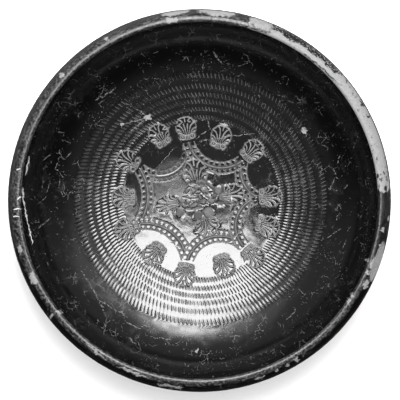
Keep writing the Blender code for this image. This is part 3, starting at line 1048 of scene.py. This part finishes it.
# Shreds of slip on the bare clay, thickest round one place and towards the lip's outer edge
kept_middle = math.radians(58.0)
kept_reach = (0.36, 0.16)
kept_beyond = (0.1144, 0.1180)
kept_share = 2.9
kept_most = (2.38, 2.44)
kept_gone = (0.62, 0.59)
remain_holes = (0.42, 0.46)
pit_tops = (0.66, 0.70)
clay_below = -0.00018
kept_turn = ramp(math_node("ABSOLUTE", math_node("SUBTRACT", round_turn, kept_middle)), *kept_reach)
kept_out = ramp(across_plan, *kept_beyond)
speckle = noise(where, 700.0, 2.0, 0.65)
grit = noise(where, 1000.0, 1.0)
shreds = noise(where, 330.0, 3.0, 0.7)
kept_mix = math_node("MULTIPLY_ADD", shreds, kept_share, product(kept_turn, kept_out))
kept = ramp(total(kept_mix, broken), *kept_most)
kept = product(kept, ramp(grit, *kept_gone))
for remain in remains:
    kept = larger(kept, product(spot(hair_warp, *remain), ramp(speckle, *remain_holes)))
pits = ramp(noise(where, 420.0, 2.0), *pit_tops)
bare = product(bare, rest(larger(kept, pits)))
sunk = product(bare, clay_below)
for flake in flakes:
    bare = larger(bare, product(spot(flake_warp, *flake), used_side))
bright_edge = 0.0
for flake in edge_flakes:
    bright_edge = larger(bright_edge, product(spot(hair_warp, *flake), used_side))
foot_wear = (0.0012, 0.0006)
foot_bare = ramp(apart.outputs[2], *foot_wear)
bare = larger(larger(bare, break_face), foot_bare)

# The rubbed slip, which ends further in along the bottom of the picture, and a worn line at the inner edge
low_turn = (-0.15, -0.60)
low_narrower = 0.0024
rub_waver = 0.004
rub_end = (0.1210, 0.1200)
right_turn = (0.80, 0.92)
right_spared = 0.7
tear_share = 0.45
rub_holes = (0.43, 0.50)
low_side = product(ramp(turn_sin, *low_turn), low_narrower)
outer_end = total(total(across_plan, low_side), product(broken, rub_waver))
rubbed = product(on_lip, ramp(outer_end, *rub_end))
right_side = ramp(turn_cos, *right_turn)
worn_mix = total(product(broken, tear_share), product(speckle, 1.0 - tear_share))
rubbed = product(rubbed, ramp(worn_mix, *rub_holes))
spared = larger(bare_turn, product(right_side, right_spared))
rubbed = product(rubbed, rest(spared))
line_place = lip_inner + 0.0001
line_width = (0.0006, 0.0002)
line_holes = (0.47, 0.53)
off_edge = math_node("ABSOLUTE", math_node("SUBTRACT", inner_edge, line_place))
edge_line = product(ramp(off_edge, *line_width), ramp(broken, *line_holes))
edge_line = product(edge_line, product(above_wall, rest(right_side)))

# The inside's wear: scratches and hair cracks in the slip, in the flakes' terms, with finer ones
# crossing at random, specks, and a haze where it was rubbed. The crests of the stamps and of the strips
# between the strokes are worn through to grey, and the arcs' frames and the knot's strands get the same
# grey as painted highlight.
scratches = (
    (-59.2, 66.7, 7.3, 0.56, 31.0), (-41.9, 50.1, 9.3, 0.40, 14.0), (-36.3, 55.1, 4.5, 0.38, -39.0),
    (-39.7, 46.9, 6.5, 0.31, 39.0), (4.6, 38.0, 5.2, 0.31, 9.0), (15.4, 39.9, 5.7, 0.31, 11.0),
    (28.2, 41.6, 7.2, 0.34, 5.0), (1.3, 41.6, 4.3, 0.31, 36.0), (6.0, 47.5, 2.9, 0.44, -77.0),
    (-17.7, 8.7, 9.4, 0.28, 50.0), (-66.7, -57.0, 6.2, 0.31, -60.0), (-61.0, -68.0, 6.2, 0.31, -66.0),
    (-59.2, -65.2, 5.2, 0.31, -33.0), (-59.2, -79.0, 5.4, 0.31, 83.0), (-72.3, -47.6, 4.8, 0.31, -58.0),
    (-49.8, -70.8, 5.7, 0.25, -29.0), (-42.2, -78.7, 5.6, 0.31, -27.0), (-42.2, -88.4, 3.3, 0.31, -41.0),
    (-95.5, 27.5, 3.3, 0.31, 40.0), (-98.9, 0.3, 4.0, 0.31, 43.0), (-97.4, -14.1, 4.9, 0.38, 40.0),
    (11.3, 90.1, 5.0, 0.56, -55.0), (27.3, 85.4, 4.6, 0.25, 16.0), (85.5, 17.2, 4.8, 0.44, -67.0),
    (83.6, 10.3, 4.2, 0.31, 63.0), (86.5, -12.6, 5.2, 0.31, 65.0), (84.9, -20.4, 5.4, 0.31, 36.0),
    (-107.9, 21.6, 6.3, 0.44, 88.0), (-24.1, -87.1, 7.0, 0.25, -8.0), (57.0, -73.0, 4.7, 0.25, 42.0),
    (-21.9, 26.2, 10.7, 0.22, 47.5), (-88.1, 30.3, 1.6, 0.40, -77.3), (-89.4, 23.6, 3.7, 0.22, -107.4),
    (-89.2, 19.1, 2.1, 0.22, -41.4), (-86.6, 15.6, 3.0, 0.22, -61.3), (-88.2, 10.7, 2.4, 0.28, -96.0),
    (-87.1, 5.5, 3.7, 0.28, -67.2), (-82.6, 28.7, 2.7, 0.28, 49.2), (-98.8, 9.9, 5.3, 0.30, -96.1),
    (-94.9, 9.4, 4.5, 0.22, -108.3), (-80.4, 5.0, 2.3, 0.30, 27.8), (87.4, 25.3, 2.6, 0.35, 70.0),
    (92.6, 8.9, 2.2, 0.35, 40.0), (88.1, -3.2, 2.4, 0.30, -60.0), (91.5, -27.0, 2.8, 0.35, 75.0),
)
scratch_holes = (0.44, 0.54)
haze_patches = (0.42, 0.66)
haze_outside = 0.3
rows_over = (0.066, 0.080)  # beyond the rows of rouletting, where random scratches are dense
crack_parts = (0.59, 0.63)
hair_parts = (0.57, 0.65)
near_scratches = 0.25
fleck_patches = (0.47, 0.60)
fleck_tops = (0.68, 0.75)
dash_parts = (0.61, 0.65)
near_dashes = 0.2
outside_wear = 0.1
scratched = 0.0
for scratch in scratches:
    scratched = larger(scratched, spot(hair_warp, *scratch))
scratched = product(scratched, ramp(fine, *scratch_holes))
haze_side = (1.0 - haze_outside, haze_outside)
patchy = product(ramp(blotch, *haze_patches), math_node("MULTIPLY_ADD", used_side, *haze_side))
off_rows = ramp(across_plan, *rows_over)
cracks = product(web(hair_warp, 95.0, 0.00018), ramp(mottle, *crack_parts))
hairs = product(web(hair_warp, 230.0, 0.00015), ramp(noise(where, 120.0, 3.0), *hair_parts))
random_scratches = larger(cracks, hairs)
random_scratches = product(random_scratches, total(near_scratches, product(off_rows, 1.0 - near_scratches)))
patches = ramp(noise(where, 95.0, 4.0), *fleck_patches)
flecks = product(ramp(grit, *fleck_tops), patches)
dashes = product(web(hair_warp, 430.0, 0.00013), ramp(noise(where, 620.0, 2.0), *dash_parts))
dashes = product(dashes, total(near_dashes, product(off_rows, 1.0 - near_dashes)))
flecks = larger(flecks, product(dashes, patches))
light_wear = larger(scratched, larger(random_scratches, flecks))
light_wear = product(light_wear, math_node("MULTIPLY_ADD", used_side, 1.0 - outside_wear, outside_wear))

ridge_tops = (0.68, 0.95)
ridge_patches = (0.38, 0.62)
ridge_least = 0.20
crest_tops = (0.04, 0.40)
crest_patches = (0.30, 0.60)
crest_least = 0.55
haze_spots = (0.35, 0.70)
haze_from = (0.030, 0.060)
star_middle = (-16.0, 9.0)
star_half = (16.0, 18.0)
hair_across = (0.737, -0.676, 0.0)  # at right angles to the long hair scratch that bounds the star's haze
hair_side = (-0.0342, -0.0334)
ridge_wear = product(
    ramp(ridges, *ridge_tops), total(ridge_least, product(ramp(blotch, *ridge_patches), 1.0 - ridge_least))
)
crest_dull = ramp(crests, *crest_tops)
# Crest colour: worn crests of the stamps, and painted highlight on the arcs' frames and the knot's strands,
# in patches
crest_wear_and_highlight = product(crests, total(crest_least, product(ramp(mottle, *crest_patches), 1.0 - crest_least)))
haze = product(product(patchy, ramp(mottle, *haze_spots)), ramp(across_plan, *haze_from))
from_hair = vector_node("DOT_PRODUCT", plan, hair_across, "Value")
star_haze = product(spot(plan, *star_middle, *star_half, 0.0), ramp(from_hair, *hair_side))

# The colours, from the whole slip over its wear and painted highlight to the bare clay, lightest last
whole_slip = grey(0.0006)
crest_slip = grey(0.11)
ridge_slip = grey(0.030)
scratched_slip = grey(0.08)
scratch_strength = 0.8
rubbed_slips = (grey(0.004), grey(0.050))
rubbed_spots = (0.44, 0.66)
line_slip = grey(0.09)
clays = (grey(0.120), grey(0.180))
clay_spots = (0.2, 0.8)
break_clays = (grey(0.12), grey(0.21))
break_spots = (0.35, 0.65)
bright_clay = grey(0.34)
colour = mix_colour(crest_wear_and_highlight, whole_slip, crest_slip)
colour = mix_colour(ridge_wear, colour, ridge_slip)
colour = mix_colour(product(light_wear, scratch_strength), colour, scratched_slip)
worn_slip = mix_colour(ramp(speckle, *rubbed_spots), *rubbed_slips)
colour = mix_colour(rubbed, colour, worn_slip)
colour = mix_colour(edge_line, colour, line_slip)
clay = mix_colour(ramp(fine, *clay_spots), *clays)
colour = mix_colour(bare, colour, clay)
colour = mix_colour(break_face, colour, mix_colour(ramp(fine, *break_spots), *break_clays))
colour = mix_colour(bright_edge, colour, bright_clay)

# The gloss, as roughness: the floor of the bowl shines most, and each kind of wear dulls it
floor_rough = 0.09
wall_rough = 0.18
wall_from = (0.045, 0.085)
haze_rough = (0.33, 0.43)  # at the top and bottom of the picture, and at its sides
haze_turn = (0.50, 0.95)
ground_rough = 0.72
star_rough = 0.24
star_strength = 0.55
notch_rough = 0.34
crest_rough = 0.70
ridge_rough = 0.52
scratch_rough = 0.60
lip_rough = 0.29
bare_rough = (0.52, 0.12)  # on the bare part, inwards and outwards
rubbed_rough = 0.56
rubbed_tops = (0.38, 0.58)
clay_rough = 0.85
wall_gloss = mix_value(ramp(across_plan, *wall_from), floor_rough, wall_rough)
haze_gloss = mix_value(ramp(math_node("ABSOLUTE", turn_cos), *haze_turn), *haze_rough)
gloss = mix_value(haze, mix_value(dull_ground, wall_gloss, ground_rough), haze_gloss)
gloss = mix_value(product(star_haze, star_strength), gloss, star_rough)
gloss = mix_value(notches, gloss, notch_rough)
gloss = mix_value(crest_dull, gloss, crest_rough)
gloss = mix_value(ridge_wear, gloss, ridge_rough)
gloss = mix_value(light_wear, gloss, scratch_rough)
gloss = mix_value(on_lip, gloss, mix_value(bare_turn, lip_rough, mix_value(kept_out, *bare_rough)))
gloss = mix_value(product(rubbed, ramp(speckle, *rubbed_tops)), gloss, rubbed_rough)
gloss = mix_value(larger(bare, bright_edge), gloss, clay_rough)

# The slip's own surface, in metres: broad waves, a fine grain, the wheel's marks and a pitted lip
wave_rise = 0.00012
grain_rise = 0.000007
wheel_rise = 0.000012
pit_rise = 0.00012
waves = product(noise(where, 70.0, 2.0), wave_rise)
grain = product(fine, grain_rise)
turning = product(wheel, wheel_rise)
lip_wear = product(product(on_lip, speckle), mix_value(bare_turn, pit_rise, 0.0))
surface = total(total(waves, grain), total(total(turning, sunk), lip_wear))
bump = node("ShaderNodeBump", (), Strength=1.0, Distance=1.0, Height=surface)
slip_index = 1.6
links.new(colour, shader.inputs["Base Color"])
links.new(gloss, shader.inputs["Roughness"])
links.new(bump.outputs[0], shader.inputs["Normal"])
shader.inputs["IOR"].default_value = slip_index
mesh.materials.append(glaze)
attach(bowl, "root")
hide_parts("bowl")

# The floor: a plain pale table top with a matt surface, far larger than the bowl that stands on it, so
# that its edges lie outside the picture.
floor_half = 6.0
floor_grey = grey(0.84)
floor_rough = 0.9
floor_shape = bmesh.new()
bmesh.ops.create_grid(floor_shape, x_segments=1, y_segments=1, size=floor_half)
floor_mesh = bpy.data.meshes.new("table_top")
floor_shape.to_mesh(floor_mesh)
floor_shape.free()
table_top = bpy.data.objects.new("table_top", floor_mesh)
bpy.context.scene.collection.objects.link(table_top)
pale = bpy.data.materials.new("pale_floor")
pale.use_nodes = True
pale_shader = pale.node_tree.nodes["Principled BSDF"]
pale_shader.inputs["Base Color"].default_value = floor_grey
pale_shader.inputs["Roughness"].default_value = floor_rough
pale_shader.inputs["Specular IOR Level"].default_value = 0.0
floor_mesh.materials.append(pale)


# The light: a large soft box above the bowl's far side, a dim broad ceiling, and a wide fill that
# lights the table and shows in no reflection.
def area_light(name, place, aim, width, length, power, shape="RECTANGLE"):
    """A soft light at a place, facing an aim point, that the camera doesn't see."""
    lamp = bpy.data.lights.new(name, "AREA")
    lamp.shape = shape
    lamp.size = width
    lamp.size_y = length
    lamp.energy = power
    made = bpy.data.objects.new(name, lamp)
    made.location = place
    made.rotation_euler = (Vector(aim) - Vector(place)).to_track_quat("-Z", "Y").to_euler()
    made.visible_camera = False
    bpy.context.scene.collection.objects.link(made)
    return made


area_light("soft_box", (0.068, 0.566, 1.264), (0.0, 0.0, 0.05), 0.75, 1.18, 37.5, "ELLIPSE")
area_light("wing_light", (0.20, 0.70, 1.50), (0.0, 0.0, 0.05), 2.6, 1.5, 8.0)
table_fill = area_light("table_fill", (0.0, 0.0, 2.5), (0.0, 0.0, 0.0), 3.0, 3.0, 110.0)
table_fill.visible_glossy = False
table_top.visible_glossy = False
far_wall_light = (-0.3, 0.5, 0.35)  # from where, up to where, and how light
ceiling_light = (0.45, 0.80, 0.30)
room_dark = 0.03
world = bpy.data.worlds.new("room")
world.use_nodes = True
sky = world.node_tree
facing = sky.nodes.new("ShaderNodeTexCoord")
parts = sky.nodes.new("ShaderNodeSeparateXYZ")
far_wall = sky.nodes.new("ShaderNodeMapRange")
overhead = sky.nodes.new("ShaderNodeMapRange")
both = sky.nodes.new("ShaderNodeMath")
sky.links.new(facing.outputs["Generated"], parts.inputs[0])
sky.links.new(parts.outputs[1], far_wall.inputs["Value"])
sky.links.new(parts.outputs[2], overhead.inputs["Value"])
for place, (ranged, (low, high, top)) in enumerate(((far_wall, far_wall_light), (overhead, ceiling_light))):
    ranged.interpolation_type = "SMOOTHSTEP"
    ranged.inputs["From Min"].default_value = low
    ranged.inputs["From Max"].default_value = high
    ranged.inputs["To Min"].default_value = room_dark
    ranged.inputs["To Max"].default_value = top
    sky.links.new(ranged.outputs[0], both.inputs[place])
both.operation = "MAXIMUM"
sky.links.new(both.outputs[0], sky.nodes["Background"].inputs["Strength"])
sky.nodes["Background"].inputs["Color"].default_value = grey(1.0)
bpy.context.scene.world = world
bpy.context.scene.view_settings.view_transform = "Standard"

# The camera: straight above the bowl, far off with a long lens, as the photograph has it. The bowl's
# outline and its middle are measured in the photograph's own pixels.
camera_height = 5.0
camera_reach = 20.0
photo_half = 200.0
outline_pixels = 191.6
middle_right = -0.55
middle_down = 0.42
pixel_size = bowl_radius / outline_pixels
lens_data = bpy.data.cameras.new("camera")
lens_data.sensor_width = 36.0
half_seen = pixel_size * photo_half
lens_data.lens = lens_data.sensor_width / 2.0 * (camera_height - belly_height) / half_seen
lens_data.clip_end = camera_reach
camera = bpy.data.objects.new("camera", lens_data)
camera.location = (-middle_right * pixel_size, middle_down * pixel_size, camera_height)
bpy.context.scene.collection.objects.link(camera)
bpy.context.scene.camera = camera
